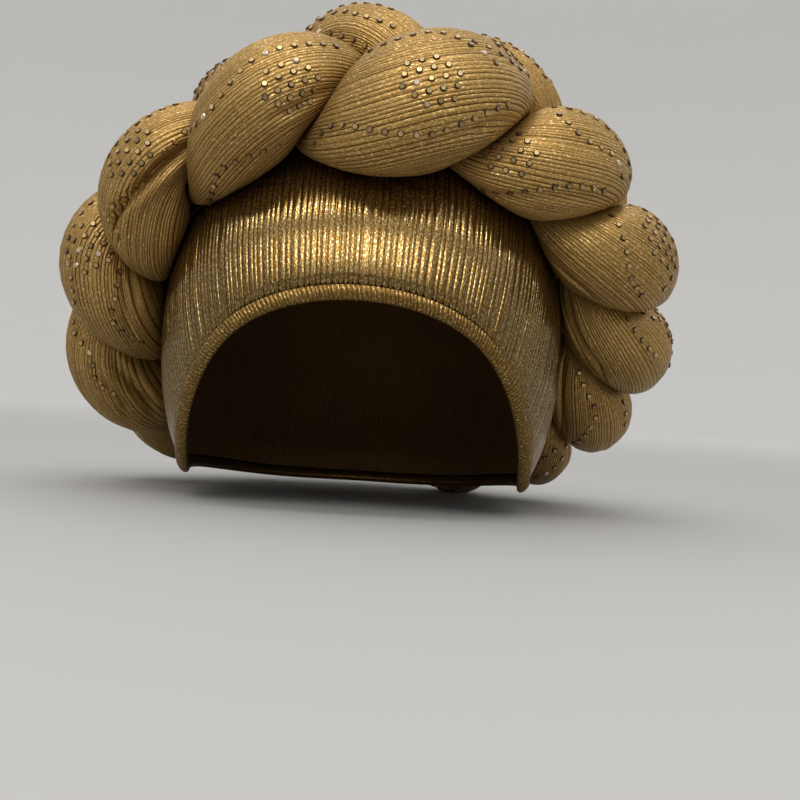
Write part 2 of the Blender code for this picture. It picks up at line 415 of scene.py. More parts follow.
# Spots a metre along and across the pleats, with their detail, and the cloudy tone's scale
LINE_SPOTS = (13.0, 620.0, 0.0)
GRAIN_SPOTS = (1900.0, 1900.0, 1.0)
FLECK_SPOTS = (900.0, 2100.0, 2.0)
SPECKLE_ROUGHNESS = 0.6
CLOUD_SCALE = 34.0
CLOUD_DETAIL = 3.0

# Ranges that a value is brought from and to
# CREST_RANGE and LINE_RANGE set where the painted groove shade comes in
CREST_RANGE = (0.20, 0.92, 0.0, 1.0)
LINE_RANGE = (0.0, 0.075, 0.0, 1.0)
CLOUD_RANGE = (0.36, 0.68, 0.0, 0.28)
GRAIN_RANGE = (0.40, 0.56, 0.60, 0.0)
FLECK_RANGE = (0.60, 0.68, 0.0, 1.0)
STONE_RANGE = (0.10, 0.80, 0.0, 1.0)
GLINT_RANGE = (0.93, 0.99, 0.0, 0.6)
POLISH_RANGE = (0.78, 0.86)
GRAIN_HEIGHT = 0.6
LINE_HEIGHT = 0.9

# Camera that took the picture, in the head tie's frame
CAMERA_PLACE = (0.0162, -0.5600, -0.1060)
CAMERA_ROLL = math.radians(3.5)
CAMERA_LENS = 63.0
SENSOR_WIDTH = 36.0

# Stage: a round sheet that lies flat and then curves up, in metres
FLAT_RADIUS = 2.6
CURVE_RADIUS = 1.2
STAGE_HEIGHT = 1.8
STAGE_SIDES = 72
FLOOR_GAP = 0.0005
INNER_RADII = (0.6, 1.6)
CURVE_BENDS = (10, 20, 30, 40, 50, 60, 70, 80, 90)
PALER_FROM = 0.25
PAPER_ROUGHNESS = 0.8
BACKDROP_COLOUR = (0.60, 0.595, 0.58)
FLOOR_COLOUR = (0.34, 0.335, 0.325)
KEY_POWER = 6.2
WORLD_COLOUR = (0.80, 0.80, 0.80, 1.0)
WORLD_STRENGTH = 1.27
LIGHT_TARGET = (0.0, -0.03, -0.05)
LIGHTS = (
    # name, place, target, width, height, share of the key's power, colour
    ("key_light", (-0.06, -0.94, 0.76), LIGHT_TARGET, 1.2, 0.36, 1.0, (1.0, 0.98, 0.95)),
    ("brow_light", (0.0, -0.56, 1.13), LIGHT_TARGET, 1.4, 0.12, 5.0 / KEY_POWER, (1.0, 0.99, 0.97)),
    ("top_light", (0.0, 0.30, 2.30), (0.0, 0.2, 0.0), 2.0, 2.0, 9.0 / KEY_POWER, (1.0, 1.0, 1.0)),
)


class GeleClothSettings(bpy.types.PropertyGroup):
    pleat_depth: FloatProperty(
        name="Plait Pleat Depth",
        description="How deep the pressed pleats of the plait are",
        default=PLEAT_DEPTH,
        unit="LENGTH",
        precision=5,
    )
    cap_pleat_depth: FloatProperty(
        name="Cap Pleat Depth",
        description="How deep the pressed pleats of the cap are",
        default=CAP_PLEAT_DEPTH,
        unit="LENGTH",
        precision=5,
    )
    fold_depth: FloatProperty(
        name="Fold Depth",
        description="How deep the soft folds are where a strand is pinched",
        default=PLAIT_FOLD,
        unit="LENGTH",
        precision=5,
    )
    crest_colour: FloatVectorProperty(
        name="Crest Colour",
        description="Colour of the foil on the tops of the pleats",
        default=CREST_COLOUR,
        subtype="COLOR",
        min=0.0,
        max=1.0,
    )
    cap_crest_colour: FloatVectorProperty(
        name="Cap Crest Colour",
        description="Colour of the stretched foil on the tops of the cap's pleats",
        default=CAP_CREST_COLOUR,
        subtype="COLOR",
        min=0.0,
        max=1.0,
    )
    # Painted shade in the pleat grooves and along the fine lines
    groove_shade_colour: FloatVectorProperty(
        name="Groove Shade Colour",
        description="Colour of the cloth down in the pleats",
        default=GROOVE_SHADE_COLOUR,
        subtype="COLOR",
        min=0.0,
        max=1.0,
    )


class GeleStageSettings(bpy.types.PropertyGroup):
    backdrop_colour: FloatVectorProperty(
        name="Backdrop Colour",
        description="Colour of the backdrop that rises from the floor",
        default=BACKDROP_COLOUR,
        subtype="COLOR",
        min=0.0,
        max=1.0,
    )
    floor_colour: FloatVectorProperty(
        name="Floor Colour",
        description="Colour of the floor under the lights",
        default=FLOOR_COLOUR,
        subtype="COLOR",
        min=0.0,
        max=1.0,
    )
    key_power: FloatProperty(
        name="Key Power",
        description="Power of the soft light above the camera, which the other two follow",
        default=KEY_POWER,
        unit="POWER",
    )


def unit(vectors):
    return vectors / np.linalg.norm(vectors, axis=-1, keepdims=True)


def dome_radius(directions, grown):
    """Distance from the head's centre to the dome, its half sizes grown by a wall or a gap."""
    halves = np.array([HEAD_HALF_WIDTH, HEAD_HALF_DEPTH, CROWN_HEIGHT]) + grown
    powered = np.abs(directions / halves) ** HEAD_SQUARENESS
    return powered.sum(axis=-1) ** (-1.0 / HEAD_SQUARENESS)


def dome_point(directions, grown):
    return HEAD_CENTRE + directions * dome_radius(directions, grown)[..., None]


def face_edge():
    """Points on the middle of the cloth along the opening, with their outward and downward axes."""
    bearings = np.arange(EDGE_STEPS) / EDGE_STEPS * 2 * math.pi
    away = np.abs((bearings + math.pi) % (2 * math.pi) - math.pi)
    keys = np.radians([row[0] for row in EDGE_FALL])
    fall = np.interp(away, keys, [row[1] for row in EDGE_FALL])
    gone = np.clip((away - keys[-1]) / (math.pi - keys[-1]), 0.0, 1.0)
    heights = BROW_ANGLE + (EAR_ANGLE - BROW_ANGLE) * fall
    heights += (NAPE_ANGLE - EAR_ANGLE) * gone * gone * (3 - 2 * gone)
    heights = spread_round(heights, EDGE_SPREAD)
    flat = np.cos(heights)
    directions = np.stack([flat * np.sin(bearings), -flat * np.cos(bearings), np.sin(heights)], axis=1)
    points = dome_point(directions, CAP_WALL / 2)
    along = unit(np.roll(points, -1, axis=0) - np.roll(points, 1, axis=0))
    down = unit(np.cross(along, directions))
    out = np.cross(down, along)
    return points, out, down


def spread_round(values, reach):
    """A running mean round a closed row of values."""
    padded = np.concatenate([values[-reach:], values, values[:reach]])
    return np.convolve(padded, np.full(2 * reach + 1, 1 / (2 * reach + 1)), mode="valid")


def steps_round(points):
    """Lengths from each point of a closed row to the next."""
    return np.linalg.norm(np.roll(points, -1, axis=0) - points, axis=1)


def steps_along(points):
    """Lengths from each point of an open row to the next."""
    return np.linalg.norm(np.diff(points, axis=0), axis=1)


def summed(lengths):
    """How far it is to the start of each length, and to the end of the last."""
    return np.concatenate([[0], np.cumsum(lengths)])


def steps_at(points, shares):
    """Indices of the points that lie at shares of the way round a closed line."""
    travelled = summed(steps_round(points))
    return np.searchsorted(travelled, shares * travelled[-1]) % len(points)


def smooth_run(before, here, after, beyond, part):
    """A smooth run from here to after that keeps the slope of the values on both sides."""
    bend = 2 * before - 5 * here + 4 * after - beyond + part * (3 * (here - after) + beyond - before)
    return here + 0.5 * part * (after - before + part * bend)


def half_wave(turned):
    """A wave from 0 at no turn to 1 at half a turn."""
    return (1 - np.cos(turned)) / 2


def along_plait(column, at, gain=0.0):
    """A smooth run through a column's value at each lobe, rising by the gain every time round."""
    values = np.array([row[column] for row in LOBES], float)
    whole = np.floor(at).astype(int)
    around = (
        values[(whole + step) % LOBE_COUNT] + gain * ((whole + step) // LOBE_COUNT)
        for step in RUN_STEPS
    )
    return smooth_run(*around, at - whole)


def plait_line(at):
    """Guide point and its direction from the head's centre, at a place counted in lobes."""
    turn = np.radians(along_plait(0, at, 360.0))
    lean = PLAIT_NAPE_LEAN * along_plait(1, at)
    top = np.array([0.0, -math.sin(PLAIT_TOP_LEAN), math.cos(PLAIT_TOP_LEAN)])
    side = np.array([1.0, 0.0, 0.0])
    back = np.array([0.0, math.cos(PLAIT_TOP_LEAN), math.sin(PLAIT_TOP_LEAN)])
    level = np.cos(turn)[:, None] * top + np.sin(turn)[:, None] * side
    directions = np.cos(lean)[:, None] * level + np.sin(lean)[:, None] * back
    standoff = PLAIT_STANDOFF * along_plait(3, at)
    return dome_point(directions, CAP_WALL) + directions * standoff[:, None], directions


def strand_line(number, at):
    """Centre of a strand, the plait's outward axis there and the strand's full radius."""
    middle, directions = plait_line(at)
    along = unit(plait_line(at + LINE_NUDGE)[0] - plait_line(at - LINE_NUDGE)[0])
    outward = unit(directions - (directions * along).sum(axis=1)[:, None] * along)
    facewards = np.cross(along, outward)
    roll = np.radians(along_plait(4, at))[:, None]
    outward, facewards = (
        np.cos(roll) * outward + np.sin(roll) * facewards,
        np.cos(roll) * facewards - np.sin(roll) * outward,
    )
    fatness = along_plait(2, at)
    phase = 2 * math.pi * (at + along_plait(5, at) - number) / STRANDS + LOBE_PHASE
    swing = PLAIT_SWING * fatness * np.cos(phase)
    rise = PLAIT_RISE * fatness * np.sin(2 * phase)
    rise -= OUTER_DROP * along_plait(6, at) * half_wave(phase)
    centre = middle + swing[:, None] * facewards + rise[:, None] * outward
    pinch = NECK_PINCH * half_wave(2 * (phase - LOBE_PHASE))
    slimming = OUTER_SLIMMING * half_wave(phase - LOBE_PHASE)
    return centre, outward, LOBE_RADIUS * fatness * (1 - pinch) * (1 - slimming)


def depth_outside(points, line, window):
    """How far points lie outside a strand's full round form, and which part of its line is nearest."""
    centre, outward, radius = (values[window][:, None] for values in line)
    offset = points[:, :, None, :] - centre
    flattening = LOBE_FLATNESS**-2 - 1
    rise = np.einsum("ijkl,ijkl->ijk", offset, np.broadcast_to(outward, offset.shape))
    distance = np.sqrt(np.einsum("ijkl,ijkl->ijk", offset, offset) + flattening * rise**2) - radius
    return distance.min(axis=-1), distance.argmin(axis=-1)


def softened(values, passes):
    """A grid's values spread a little along and around, closed both ways."""
    for _ in range(passes):
        for axis in (0, 1):
            values = (np.roll(values, 1, axis) + 2 * values + np.roll(values, -1, axis)) / 4
    return values


def strand_frame(number, at):
    """A strand's centres with their sideways and upward axes, at places counted in lobes."""
    centre, outward, _ = strand_line(number, at)
    along = unit(strand_line(number, at + LINE_NUDGE)[0] - strand_line(number, at - LINE_NUDGE)[0])
    up = unit(outward - (outward * along).sum(axis=1)[:, None] * along)
    return centre, np.cross(along, up), up


@functools.lru_cache
def section_places(number):
    """Places along a strand, closest together where its outer side turns fastest."""
    count = PLAIT_SECTIONS * FINER_SECTIONS
    fine = NAPE_PLACE + np.arange(count) / count * LOBE_COUNT
    centre, side, _ = strand_frame(number, fine)
    step = np.zeros(len(fine))
    for edge in (-LOBE_RADIUS, LOBE_RADIUS):
        step = np.maximum(step, steps_round(centre + side * edge))
    travelled = summed(spread_round(step, SECTION_SPREAD))
    wanted = np.arange(PLAIT_SECTIONS) / PLAIT_SECTIONS * travelled[-1]
    return np.interp(wanted, travelled, np.append(fine, NAPE_PLACE + LOBE_COUNT))


def rays_round(side, up, shares):
    """Directions round a strand at shares of the way round, from its side towards the cap."""
    turns = math.radians(CAPWARD_TURN) + shares * 2 * math.pi
    return np.cos(turns)[None, :, None] * side[:, None] + np.sin(turns)[None, :, None] * up[:, None]


def strand_reach(number):
    """Centres, axes, how far the stuffed strand swells along each ray, and how far that is held in."""
    steps = LOBE_COUNT * LINE_POINTS_A_LOBE
    lines = [strand_line(k, np.arange(steps) / LINE_POINTS_A_LOBE) for k in range(STRANDS)]
    at = section_places(number)
    centre, side, up = strand_frame(number, at)
    rays = rays_round(side, up, np.arange(PLAIT_RAYS) / PLAIT_RAYS)
    half = round(NEIGHBOUR_LOBES * LINE_POINTS_A_LOBE)
    nearest = np.round(at * LINE_POINTS_A_LOBE).astype(int)
    window = (nearest[:, None] + np.arange(-half, half + 1)) % steps
    others = [line for k, line in enumerate(lines) if k != number]

    def clear(reach):
        points = centre[:, None] + rays * reach[..., None]
        own, where = depth_outside(points, lines[number], window)
        fits = (own <= 0) & (np.abs(where - half) <= OWN_LOBES * LINE_POINTS_A_LOBE)
        for other in others:
            fits &= own + STRAND_GAP <= depth_outside(points, other, window)[0]
        from_head = points - HEAD_CENTRE
        room = np.linalg.norm(from_head, axis=-1) - dome_radius(unit(from_head), CAP_WALL)
        return fits & (room >= CAP_GAP)

    reach = np.full(rays.shape[:2], FIRST_REACH)
    moving = np.ones(reach.shape, bool)
    for _ in range(REACH_STEPS):
        moving &= clear(reach + REACH_STEP)
        reach = np.where(moving, reach + REACH_STEP, reach)
    for halving in range(1, REACH_HALVINGS + 1):
        step = REACH_STEP / 2**halving
        reach = np.where(clear(reach + step), reach + step, reach)
    reach = softened(np.minimum(reach, softened(reach, REACH_PASSES)), LAST_PASSES)
    inside, _ = depth_outside(centre[:, None] + rays * reach[..., None], lines[number], window)
    return centre, side, up, reach, -inside


def uneven_widths(draw, count, least, most, broader):
    """Widths at random between two bounds, some of them a good deal broader."""
    return draw.uniform(least, most, count) + draw.uniform(0, broader, count) ** 2


def pleat_run(widths, profile):
    """Places round a closed row of pleats as shares of the way, each pleat's width and depth profile."""
    widths = widths / widths.sum()
    starts = summed(widths)[:-1]
    across = np.array([row[0] for row in profile])
    places = (starts[:, None] + across * widths[:, None]).ravel()
    depths = np.tile([row[1] for row in profile], len(widths))
    return places, np.repeat(widths, len(profile)), depths


def wandering(samples, columns, stations, draw, closed=True):
    """Values from 0 to 1 that drift smoothly down each column, each column on its own."""
    table = draw.uniform(0, 1, (stations + 1, columns))
    if closed:
        table[-1] = table[0]
    at = np.arange(samples) / (samples if closed else samples - 1) * stations
    whole = np.minimum(at.astype(int), stations - 1)
    part = (at - whole)[:, None]
    ease = part * part * (3 - 2 * part)
    return table[whole] * (1 - ease) + table[whole + 1] * ease


def round_values(values, places):
    """A closed row's values at shares of the way round, by a smooth run through its neighbours."""
    count = values.shape[1]
    at = places * count
    whole = np.floor(at).astype(int)
    return smooth_run(*(values[:, (whole + step) % count] for step in RUN_STEPS), at - whole)


def grid_normals(points):
    """Outward normals of a closed tube's grid of points."""
    along = np.roll(points, -1, axis=0) - np.roll(points, 1, axis=0)
    around = np.roll(points, -1, axis=1) - np.roll(points, 1, axis=1)
    return unit(np.cross(around, along))


def strand_pleats(draw):
    """Pleats round a strand: narrow and broad ones at random, and wide ones on the side towards the cap."""
    widths = uneven_widths(draw, PLAIT_PLEATS, *PLAIT_WIDTHS)
    widths[:HIDDEN_PLEATS] *= HIDDEN_WIDENING
    widths[-HIDDEN_PLEATS:] *= HIDDEN_WIDENING
    return pleat_run(widths, PLAIT_PLEAT)


def plait_folds(number, reach, shares):
    """How deep the soft folds lie as a share of the fold depth, deepest where a strand is pinched."""
    draw = np.random.default_rng(FOLD_SEED + number)
    full = reach.max(axis=1, keepdims=True)
    pinched = np.clip(PINCH_START - full / full.max(), 0.0, 1.0) * PINCH_GAIN + FOLDS_EVERYWHERE
    shift = wandering(len(reach), FOLD_WAVES, LOBE_COUNT, draw) * FOLD_DRIFT
    folds = np.zeros(reach.shape)
    for wave in range(FOLD_WAVES):
        waves = FEWEST_FOLDS + MORE_FOLDS * wave
        turned = 2 * math.pi * (waves * shares[None, :] + draw.uniform() + shift[:, wave : wave + 1])
        folds += half_wave(turned) * draw.uniform(*FOLD_STRENGTH) * (FOLD_FADE_FROM / waves) ** FOLD_FADE
    shallow = np.clip(reach / (FOLD_SHALLOW_BELOW * full), 0.0, 1.0)
    return folds / (FOLD_WAVES * FOLD_MEAN) * pinched * shallow


def tuck_depths(number, at, reach, shares):
    """How deep the strand's tucks lie, each with a low lip along its side."""
    depth = np.zeros(reach.shape)
    turns = (CAPWARD_TURN + 360 * shares) % 360
    for strand, deepest, width, *marks in TUCKS:
        if strand != number:
            continue
        first, middle, last = marks[0::2]
        share = ((at - first) % LOBE_COUNT) / (last - first)
        bend = np.interp(share, (0, (middle - first) / (last - first), 1), marks[1::2])
        bend = spread_round(bend, TUCK_SPREAD)
        across = np.radians((turns[None, :] - bend[:, None] + 180) % 360 - 180) * reach
        ends = np.sin(math.pi * np.clip(share, 0, 1)) ** TUCK_ENDS
        lip = np.exp(-((across / width + LIP_PLACE) ** 2) / LIP_SPREAD)
        depth += deepest * (np.exp(-((across / width) ** 2)) - LIP_SHARE * lip) * ends[:, None]
    return depth


@functools.lru_cache
def strand_skin(number):
    """A strand's folded skin before it is pleated, with its normals and the form of its pleats."""
    centre, side, up, reach, held = strand_reach(number)
    shares, widths, depths = strand_pleats(np.random.default_rng(STRAND_WIDTH_SEED + number))
    reach = round_values(reach, shares)
    held = round_values(held, shares)
    folds = bpy.context.scene.gele_cloth.fold_depth * plait_folds(number, reach, shares)
    folds += tuck_depths(number, section_places(number), reach, shares)
    folds *= np.clip(1 - held / HELD_DEEP, HELD_FOLDS, 1.0)
    folds = np.minimum(folds, DEEPEST_FOLD * reach)
    points = centre[:, None] + rays_round(side, up, shares) * (reach - folds)[..., None]
    normals = grid_normals(points)
    if ((points - centre[:, None]) * normals).sum() < 0:
        normals = -normals
    return points, normals, reach, held, (shares, widths, depths)


def there_and_back(travelled, whole):
    """A distance that grows to half the way round and then falls, so that a closed row has no seam."""
    return whole / 2 - np.abs(travelled - whole / 2)


def grid_faces(rows, columns, closed):
    """Quads of a grid whose columns close on themselves, and whose rows do too where it is closed."""
    row = np.arange(rows if closed else rows - 1)[:, None] * columns
    after = (np.arange(1, rows + 1)[: len(row)] % rows)[:, None] * columns
    here = np.arange(columns)[None, :]
    beside = (here + 1) % columns
    return np.stack([row + here, row + beside, after + beside, after + here], axis=-1).reshape(-1, 4)


def turn_outwards(data):
    """Turns a mesh's faces the same way, outwards where it is closed."""
    mesh = bmesh.new()
    mesh.from_mesh(data)
    bmesh.ops.recalc_face_normals(mesh, faces=mesh.faces)
    mesh.to_mesh(data)
    mesh.free()


def riding_piece(name, data):
    """A piece that rides on the root body."""
    piece = bpy.data.objects.new(name, data)
    bpy.context.collection.objects.link(piece)
    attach(piece, "root")
    return piece


def cloth_piece(name, points, faces, place, finishes, finish_index=None):
    """A cloth piece from its points and faces, with where each point lies on the cloth and its crest share,
    which sets the painted groove shade, as an attribute.
    """
    data = bpy.data.meshes.new(name)
    data.from_pydata(points.tolist(), [], faces)
    turn_outwards(data)
    data.shade_smooth()
    layer = data.attributes.new("cloth_place", "FLOAT_VECTOR", "POINT")
    layer.data.foreach_set("vector", np.ascontiguousarray(place, np.float32).ravel())
    for finish in finishes:
        data.materials.append(finish)
    if finish_index is not None:
        data.polygons.foreach_set("material_index", finish_index)
    return riding_piece(name, data)


def opaque(colour):
    return (*colour, 1.0)


def new_finish(name):
    """A material with its node tree and its shader."""
    finish = bpy.data.materials.new(name)
    finish.use_nodes = True
    return finish, finish.node_tree, finish.node_tree.nodes["Principled BSDF"]


def join(tree, value, socket):
    """Links a socket's value into another socket, or sets a plain value there."""
    if isinstance(value, bpy.types.NodeSocket):
        tree.links.new(value, socket)
    else:
        socket.default_value = value


def add_node(tree, kind, **values):
    """A shader node with its own settings and its sockets' values."""
    node = tree.nodes.new(kind)
    for key, value in values.items():
        if hasattr(node, key):
            setattr(node, key, value)
        else:
            node.inputs[key.replace("_", " ")].default_value = value
    return node


def shader_group(name, inputs, outputs):
    """A node group with named sockets, and its two end nodes."""
    tree = bpy.data.node_groups.new(name, "ShaderNodeTree")
    for label, kind, value in inputs:
        socket = tree.interface.new_socket(label, in_out="INPUT", socket_type=kind)
        socket.default_value = value
    for label, kind in outputs:
        tree.interface.new_socket(label, in_out="OUTPUT", socket_type=kind)
    return tree, tree.nodes.new("NodeGroupInput"), tree.nodes.new("NodeGroupOutput")


def mix_colour(tree, share, first, second):
    """A colour mix of two sockets or colours by a socket or a share."""
    node = tree.nodes.new("ShaderNodeMix")
    node.data_type = "RGBA"
    for socket, value in ((0, share), (6, first), (7, second)):
        join(tree, value, node.inputs[socket])
    return node.outputs[2]


def sums(tree, operation, first, second):
    """A sum, product or other operation on two sockets or numbers."""
    node = tree.nodes.new("ShaderNodeMath")
    node.operation = operation
    for socket, value in zip(node.inputs, (first, second)):
        join(tree, value, socket)
    return node.outputs[0]


def ranged(tree, value, low, high, to_low, to_high):
    """A value brought from one range to another, smoothly and held at its ends."""
    node = tree.nodes.new("ShaderNodeMapRange")
    node.interpolation_type = "SMOOTHSTEP"
    tree.links.new(value, node.inputs["Value"])
    for label, number in zip(("From Min", "From Max", "To Min", "To Max"), (low, high, to_low, to_high)):
        node.inputs[label].default_value = number
    return node.outputs["Result"]


def speckle(tree, place, along, around, detail):
    """Noise that is drawn out along or across the pleats, its scales in spots a metre."""
    stretch = add_node(tree, "ShaderNodeVectorMath", operation="MULTIPLY")
    stretch.inputs[1].default_value = (along, around, 1.0)
    tree.links.new(place, stretch.inputs[0])
    noise = add_node(tree, "ShaderNodeTexNoise", noise_dimensions="2D", Scale=1.0, Detail=detail)
    noise.inputs["Roughness"].default_value = SPECKLE_ROUGHNESS
    tree.links.new(stretch.outputs[0], noise.inputs["Vector"])
    return noise.outputs["Fac"]


@functools.lru_cache
def pleated_foil_group():
    """Shading that every foil cloth shares: painted shade in the grooves and along the pressed fine lines,
    a cloudy tone, grain and flecks.
    """
    foil_values = zip(FOIL_INPUTS, FOILS["plait_foil_cloth"][2])
    tree, given, result = shader_group(
        "pleated_foil",
        (
            ("Crest Colour", "NodeSocketColor", opaque(CREST_COLOUR)),
            ("Groove Shade Colour", "NodeSocketColor", opaque(GROOVE_SHADE_COLOUR)),
            ("Fleck Colour", "NodeSocketColor", opaque(FLECK_COLOUR)),
            *((label, "NodeSocketFloat", value) for label, value in foil_values),
        ),
        (
            ("Colour", "NodeSocketColor"),
            ("Roughness", "NodeSocketFloat"),
            ("Height", "NodeSocketFloat"),
        ),
    )
    times = functools.partial(sums, tree, "MULTIPLY")
    plus = functools.partial(sums, tree, "ADD")
    minus = functools.partial(sums, tree, "SUBTRACT")
    cloth = add_node(tree, "ShaderNodeAttribute", attribute_name="cloth_place").outputs["Vector"]
    parts = add_node(tree, "ShaderNodeSeparateXYZ")
    join(tree, cloth, parts.inputs[0])
    # The crest share mixes in the painted groove shade, and the fine lines darken it with more painted
    # shade
    crest = ranged(tree, parts.outputs["Z"], *CREST_RANGE)
    lines = minus(speckle(tree, cloth, *LINE_SPOTS), 0.5)
    off_line = ranged(tree, sums(tree, "ABSOLUTE", lines, 0.0), *LINE_RANGE)
    seen = times(minus(1.0, off_line), given.outputs["Fine Lines"])
    crest = times(crest, minus(1.0, seen))
    base = mix_colour(tree, crest, given.outputs["Groove Shade Colour"], given.outputs["Crest Colour"])

    spot = add_node(tree, "ShaderNodeTexCoord")
    cloudy = add_node(tree, "ShaderNodeTexNoise", Scale=CLOUD_SCALE, Detail=CLOUD_DETAIL)
    join(tree, spot.outputs["Object"], cloudy.inputs["Vector"])
    base = mix_colour(tree, ranged(tree, cloudy.outputs["Fac"], *CLOUD_RANGE), base, opaque(CLOUD_COLOUR))
    grain = speckle(tree, cloth, *GRAIN_SPOTS)
    base = mix_colour(tree, ranged(tree, grain, *GRAIN_RANGE), base, opaque(CLOUD_COLOUR))

    spread = plus(speckle(tree, cloth, *FLECK_SPOTS), given.outputs["Fleck Spread"])
    bright = times(ranged(tree, spread, *FLECK_RANGE), given.outputs["Flecks"])
    bright = times(bright, crest)
    join(tree, mix_colour(tree, bright, base, given.outputs["Fleck Colour"]), result.inputs["Colour"])
    added = minus(given.outputs["Grain Roughness"], given.outputs["Smooth Roughness"])
    rough = times(added, minus(1.0, bright))
    join(tree, plus(rough, given.outputs["Smooth Roughness"]), result.inputs["Roughness"])
    pressed = times(off_line, given.outputs["Fine Lines"])
    pressed = times(pressed, LINE_HEIGHT)
    height = plus(times(grain, GRAIN_HEIGHT), pressed)
    join(tree, height, result.inputs["Height"])
    return tree


def foil_cloth(name, crest, fleck):
    """Pleated foil cloth with its own colours, gloss and how far its grain stands up."""
    metallic, relief, values = FOILS[name]
    finish, tree, shader = new_finish(name)
    shader.inputs["Metallic"].default_value = metallic
    shader.inputs["Specular IOR Level"].default_value = CLOTH_SPECULAR
    foil = tree.nodes.new("ShaderNodeGroup")
    foil.node_tree = pleated_foil_group()
    foil.inputs["Crest Colour"].default_value = opaque(crest)
    foil.inputs["Groove Shade Colour"].default_value = opaque(bpy.context.scene.gele_cloth.groove_shade_colour)
    foil.inputs["Fleck Colour"].default_value = opaque(fleck)
    for label, value in zip(FOIL_INPUTS, values):
        foil.inputs[label].default_value = value
    bump = add_node(tree, "ShaderNodeBump", Strength=1.0, Distance=relief)
    join(tree, foil.outputs["Colour"], shader.inputs["Base Color"])
    join(tree, foil.outputs["Roughness"], shader.inputs["Roughness"])
    join(tree, foil.outputs["Height"], bump.inputs["Height"])
    join(tree, bump.outputs["Normal"], shader.inputs["Normal"])
    return finish


class GELE_OT_stuffed_strands(bpy.types.Operator):
    """Stuffs and pleats the three strands of the plait"""

    bl_idname = "gele.stuffed_strands"
    bl_label = "Stuffed Strands"

    def execute(self, context):
        cloth = context.scene.gele_cloth
        finish = foil_cloth("plait_foil_cloth", cloth.crest_colour, FLECK_COLOUR)
        for number in range(STRANDS):
            skin, normals, reach, held, (shares, widths, depths) = strand_skin(number)
            sections, verts = reach.shape
            draw = np.random.default_rng(KEEN_SEED + number)
            keen = wandering(sections, PLAIT_PLEATS, PLAIT_STATIONS, draw)
            keen = np.repeat(PLAIT_KEEN + (1 - PLAIT_KEEN) * keen, len(PLAIT_PLEAT), axis=1)
            pitch = reach * widths * 2 * math.pi
            deep = np.minimum(cloth.pleat_depth * keen, STEEPEST_PLEAT * pitch) * depths
            shaped = skin - normals * deep[..., None]
            # Deeper, keener pleats get more painted groove shade
            crest = 1 - depths * np.clip(keen * KEEN_TO_CREST, 0, 1)
            lengths = steps_round(skin.mean(axis=1))
            travelled = there_and_back(summed(lengths)[:-1], lengths.sum())
            around = there_and_back(shares, 1.0) * 2 * math.pi * LOBE_RADIUS
            place = np.stack([*np.meshgrid(travelled, around, indexing="ij"), crest], axis=-1)
            faces = grid_faces(sections, verts, closed=True).tolist()
            name = f"stuffed_strand_{number + 1}"
            piece = cloth_piece(name, shaped.reshape(-1, 3), faces, place.reshape(-1, 3), [finish])
            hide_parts(f"plait_strand_{number + 1}")
        return {"FINISHED"}


def through_marks(marks, at):
    """A smooth run through a row's turning points, at places counted in points."""
    marks = np.array(marks, float)
    whole = np.clip(np.floor(at).astype(int), 0, len(marks) - 2)
    around = (marks[np.clip(whole + step, 0, len(marks) - 1)] for step in RUN_STEPS)
    return smooth_run(*around, (at - whole)[:, None])


def seats(number, spots):
    """Points on a strand's skin at places and turns, with the normal there and how far it is held in."""
    points, normals, _, held, (shares, _, _) = strand_skin(number)
    places = section_places(number)
    row = np.interp((spots[:, 0] - NAPE_PLACE) % LOBE_COUNT + NAPE_PLACE, places, np.arange(len(places)))
    column = np.interp(((spots[:, 1] - CAPWARD_TURN) / 360) % 1, shares, np.arange(len(shares)))
    whole_row, whole_column = row.astype(int), column.astype(int)
    row_part, column_part = (row - whole_row)[:, None], (column - whole_column)[:, None]

    def sampled(values):
        corner = [
            values[(whole_row + down) % len(places), (whole_column + over) % len(shares)]
            for down, over in ((0, 0), (0, 1), (1, 0), (1, 1))
        ]
        first = corner[0] * (1 - column_part) + corner[1] * column_part
        second = corner[2] * (1 - column_part) + corner[3] * column_part
        return first * (1 - row_part) + second * row_part

    return sampled(points), unit(sampled(normals)), sampled(held[..., None])[:, 0]


def row_spots(number, marks):
    """Evenly spaced places and turns along a row of stones."""
    fine = through_marks(marks, np.linspace(0, len(marks) - 1, ROW_SAMPLES))
    points, _, _ = seats(number, fine)
    travelled = summed(steps_along(points))
    wanted = np.arange(0, travelled[-1], ROW_STEP)
    return np.stack([np.interp(wanted, travelled, fine[:, axis]) for axis in (0, 1)], axis=1)


def cluster_spots(number, place, turn):
    """Places and turns of a close group of stones, its rows staggered."""
    nudges = np.array([(place, turn), (place + NUDGE_LOBES, turn), (place, turn + NUDGE_DEGREES)], float)
    points, _, _ = seats(number, nudges)
    a_lobe = np.linalg.norm(points[1] - points[0]) / NUDGE_LOBES
    a_degree = np.linalg.norm(points[2] - points[0]) / NUDGE_DEGREES
    spots = []
    for row, count in enumerate(CLUSTER_COUNTS):
        for column in range(count):
            along = (column - (count - 1) / 2) * CLUSTER_STEP
            across = (row - (len(CLUSTER_COUNTS) - 1) / 2) * CLUSTER_ROW_STEP
            spots.append((place + along / a_lobe, turn + across / a_degree))
    return np.array(spots)


def stone_spots(number):
    """Places and turns of all the stones on a strand."""
    groups = [row_spots(number, marks) for strand, *marks in STONE_ROWS if strand == number]
    groups += [cluster_spots(*cluster) for cluster in STONE_CLUSTERS if cluster[0] == number]
    plain = [(lobe, lobe, INNER_ROWS, INNER_CLUSTER_TURN) for lobe in PLAIN_LOBES]
    outer = [(lobe, lobe + OUTER_LEAD, OUTER_ROWS, OUTER_CLUSTER_TURN) for lobe in range(LOBE_COUNT)]
    for lobe, middle, rows, turn in plain + outer:
        if lobe % STRANDS != number:
            continue
        for first, halfway, last in rows:
            marks = ((middle - ROW_HALF_LENGTH, first), (middle, halfway), (middle + ROW_HALF_LENGTH, last))
            groups.append(row_spots(number, marks))
        groups.append(cluster_spots(number, middle, turn))
    return np.concatenate(groups)


